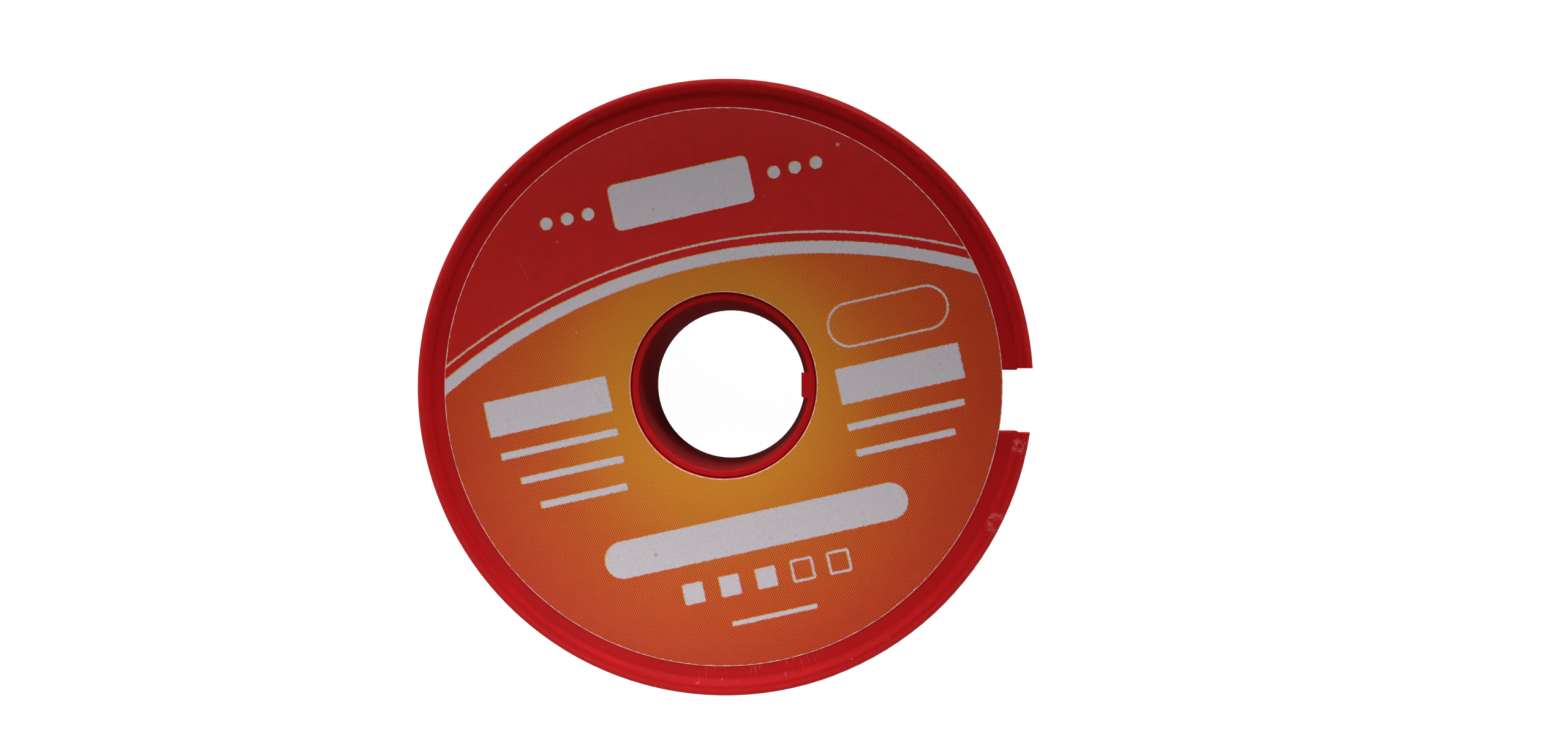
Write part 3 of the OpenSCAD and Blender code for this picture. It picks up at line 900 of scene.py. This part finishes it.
def solder_finish(colours):
    """Drawn solder wire: bright along its length, with duller stretches, drag lines and nicks."""
    material, tree, shader = new_material("drawn_solder")
    place = object_millimetres(tree)
    run = add_node(tree, "ShaderNodeAttribute", attribute_name="wire_run").outputs["Fac"]
    side = add_node(tree, "ShaderNodeAttribute", attribute_name="wire_side").outputs["Vector"]
    length = joined(tree, both(tree, run, LINES_ALONG))
    lines = noise(tree, vector_maths(tree, "ADD", scaled(tree, side, 3.2), length), 1.0, 3.0, 0.65)
    patches = noise(tree, place, 0.28, 3.0, 0.6)
    dull = ramp(tree, plus(tree, both(tree, lines, 0.5), both(tree, patches, 0.5)), 0.4, 0.64)
    colour = mix_colour(tree, both(tree, dull, 0.75), colours.solder, colours.dull_solder)
    nicks = specks(tree, place, 0.9, 0.09, 0.25)
    # Painted shade: the nicks are painted darker
    colour = mix_colour(tree, both(tree, nicks, 0.6), colour, NICK_PAINTED_SHADE)
    flux = ramp(tree, noise(tree, place, 0.75, 3.0, 0.6), 0.64, 0.74)
    colour = mix_colour(tree, both(tree, flux, 0.3), colour, FLUX)
    roughness = plus(tree, ramp(tree, dull, 0.0, 1.0, 0.26, 0.42), both(tree, flux, 0.12))
    level = minus(tree, both(tree, lines, 0.5), both(tree, nicks, 0.5))
    finish_surface(tree, shader, colour, roughness, level)
    shader.inputs["Metallic"].default_value = 1.0
    return material


class SPOOL_OT_winding(bpy.types.Operator):
    """Wind the solder wire on the barrel, layer by layer"""
    bl_idname = "spool.winding"
    bl_label = "Wind Wire"

    def execute(self, context):
        sizes = context.scene.spool_sizes
        solder = solder_finish(context.scene.spool_colours)
        wire = sizes.wire_diameter
        # The last turn of a layer lies just clear of the front flange
        high = CORE_BOX[1].z + CORE_CLEARANCE - 0.53 * wire
        low = high - LAYER_RUN
        step = (sizes.last_radius - sizes.first_radius) / (sizes.layers - 1)
        under_turns = (sizes.layers - 1) * sizes.turns_in_layer
        all_turns = sizes.layers * sizes.turns_in_layer - END_SHORT_BY
        # The wire's inner end comes up through the start hole and bends into the first turn
        bend = 0.8 * wire
        common = {
            "Wire Diameter": wire, "First Radius": sizes.first_radius, "Layer Step": step,
            "Low Height": low, "High Height": high, "Turns In Layer": sizes.turns_in_layer,
            "Start Angle": START_HOLE_ANGLE + bend / sizes.start_hole_radius, "Climb Turns": 0.35,
            "Unevenness": 0.05 * MM, "Seed": 3.0, "Material": solder,
        }
        under = wound_wire("solder_under_turns", {
            **common, "First Turn": 0.0, "Last Turn": under_turns, "Rings Per Turn": 48,
            "Sides": 8, "Tail Rings": 12, "Tail Bend": bend,
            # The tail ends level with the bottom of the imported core
            "Tail Length": low - bend - CORE_BOX[0].z,
            "Tail Offset": sizes.start_hole_radius - sizes.first_radius})
        outer = wound_wire("solder_winding", {
            **common, "First Turn": under_turns, "Last Turn": all_turns, "Rings Per Turn": 96,
            "Sides": 16, "Tuck Turns": 0.05, "Tuck Depth": 0.9 * wire})
        for piece, node in ((under, "solder_inner_layers"), (outer, "solder_outer_layer")):
            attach(piece, "root")
            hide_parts(node)
        return {"FINISHED"}


# ---- Stage ----

FLOOR_HALF_WIDTH = 2.0
FLOOR_GAP = 0.02 * MM
# Share of the floor that the camera sees as plain white, which leaves the rest to the spool's shadow,
# and the strength of that white
FLOOR_WHITE_SHARE = 0.93
FLOOR_WHITE = 1.06
# Way to the room's window
WINDOW_WAY = (-0.35, 0.94, 0.0)
# Place and target in metres, and angle of the beam in degrees, of each soft lamp
LAMPS = {
    "back": ((0.055, 0.206, 0.167), (-0.02, -0.10, 0.018), 35),
    "high": ((-0.023, 0.128, 0.243), (-0.02, -0.08, 0.018), 30),
    "left": ((-0.065, -0.113, 0.243), (-0.01, -0.04, 0.018), 35),
    "right": ((0.128, -0.107, 0.217), (0.0, -0.05, 0.018), 35),
}
LAMP_DIAMETER = 100 * MM


def pale_floor(scene):
    """A wide pale floor that shows white and keeps the spool's shadow."""
    shape = bmesh.new()
    bmesh.ops.create_grid(shape, x_segments=1, y_segments=1, size=FLOOR_HALF_WIDTH)
    mesh = bpy.data.meshes.new("floor")
    shape.to_mesh(mesh)
    shape.free()
    floor = bpy.data.objects.new("floor", mesh)
    floor.location.z = -FLOOR_GAP
    scene.collection.objects.link(floor)
    material, tree, shader = new_material("pale_floor")
    shader.inputs["Base Color"].default_value = (0.9, 0.9, 0.9, 1)
    shader.inputs["Roughness"].default_value = 0.9
    shader.inputs["Specular IOR Level"].default_value = 0.0
    white = add_node(tree, "ShaderNodeEmission", {"Color": (1, 1, 1, 1), "Strength": FLOOR_WHITE})
    rays = tree.nodes.new("ShaderNodeLightPath")
    seen = either(
        tree, rays.outputs["Is Camera Ray"], rays.outputs["Is Glossy Ray"],
        rays.outputs["Is Transmission Ray"])
    share = both(tree, seen, FLOOR_WHITE_SHARE)
    blend = add_node(tree, "ShaderNodeMixShader", (share, shader.outputs[0], white.outputs[0]))
    output = next(n for n in tree.nodes if n.type == "OUTPUT_MATERIAL")
    tree.links.new(blend.outputs[0], output.inputs[0])
    mesh.materials.append(material)


def white_room(scene, strength):
    """A room that the camera sees as white.

    It lights the spool from low down, and mostly from a window at the back left.
    """
    world = bpy.data.worlds.new("white_room")
    world.use_nodes = True
    tree = world.node_tree
    tree.nodes.clear()
    rays = tree.nodes.new("ShaderNodeLightPath")
    seen = add_node(tree, "ShaderNodeBackground", {"Color": (1, 1, 1, 1), "Strength": 1.0})
    way = tree.nodes.new("ShaderNodeTexCoord").outputs["Generated"]
    rise = add_node(tree, "ShaderNodeSeparateXYZ", (way,)).outputs[2]
    # Even up to a low height and nothing above it, and brighter towards the window
    to_window = vector_maths(tree, "DOT_PRODUCT", way, WINDOW_WAY)
    level = both(tree, ramp(tree, rise, 0.4, 0.7, 1.0, 0.0), ramp(tree, to_window, 0.0, 0.8, 0.5, 2.9))
    level = both(tree, level, strength)
    room = add_node(tree, "ShaderNodeBackground", {"Color": (1, 1, 1, 1), "Strength": level})
    blend = add_node(
        tree, "ShaderNodeMixShader", (rays.outputs["Is Camera Ray"], room.outputs[0], seen.outputs[0]))
    output = add_node(tree, "ShaderNodeOutputWorld")
    tree.links.new(blend.outputs[0], output.inputs[0])
    scene.world = world


def soft_lamp(scene, name, place, target, spread, power):
    """A round soft lamp that is aimed at a target, with a beam of the given angle."""
    light = bpy.data.lights.new(name, "AREA")
    light.shape = "DISK"
    light.size = LAMP_DIAMETER
    light.energy = power
    light.spread = math.radians(spread)
    lamp = bpy.data.objects.new(name, light)
    lamp.location = place
    lamp.rotation_euler = (Vector(target) - Vector(place)).to_track_quat("-Z", "Y").to_euler()
    lamp.visible_camera = False
    scene.collection.objects.link(lamp)


class SPOOL_OT_stage(bpy.types.Operator):
    """Set up the pale floor, the soft light and the camera"""
    bl_idname = "spool.stage"
    bl_label = "Set Up Stage"

    def execute(self, context):
        scene = context.scene
        values = scene.spool_stage
        pale_floor(scene)
        white_room(scene, values.sky)
        for name, aim in LAMPS.items():
            soft_lamp(scene, f"{name}_lamp", *aim, getattr(values, f"{name}_power"))
        camera = bpy.data.objects.new("camera", bpy.data.cameras.new("camera"))
        camera.data.lens = values.lens
        camera.data.sensor_width = 36
        camera.data.clip_start = MM
        camera.data.shift_x, camera.data.shift_y = values.camera_shift
        camera.location = values.camera_place
        camera.rotation_euler = values.camera_turn
        scene.collection.objects.link(camera)
        scene.camera = camera
        scene.view_settings.view_transform = "Standard"
        return {"FINISHED"}


# ---- Panel and run ----

class SPOOL_PT_panel(bpy.types.Panel):
    bl_idname = "SPOOL_PT_panel"
    bl_label = "Solder Wire Spool"
    bl_space_type = "VIEW_3D"
    bl_region_type = "UI"
    bl_category = "Spool"

    def draw(self, context):
        layout = self.layout
        for operator in OPERATORS:
            layout.operator(operator.bl_idname)
        for title in ("spool_sizes", "spool_colours", "spool_stage"):
            group = getattr(context.scene, title)
            column = layout.column()
            for name in group.__annotations__:
                column.prop(group, name)


OPERATORS = (SPOOL_OT_mouldings, SPOOL_OT_label, SPOOL_OT_winding, SPOOL_OT_stage)
CLASSES = (SpoolSizes, SpoolColours, SpoolStage, *OPERATORS, SPOOL_PT_panel)
GROUPS = {"spool_sizes": SpoolSizes, "spool_colours": SpoolColours, "spool_stage": SpoolStage}


def register():
    for item in CLASSES:
        bpy.utils.register_class(item)
    for name, kind in GROUPS.items():
        setattr(bpy.types.Scene, name, PointerProperty(type=kind))


def unregister():
    for name in GROUPS:
        delattr(bpy.types.Scene, name)
    for item in reversed(CLASSES):
        bpy.utils.unregister_class(item)


def main():
    register()
    bpy.ops.spool.mouldings()
    bpy.ops.spool.label()
    bpy.ops.spool.winding()
    bpy.ops.spool.stage()


if __name__ == "__main__":
    main()
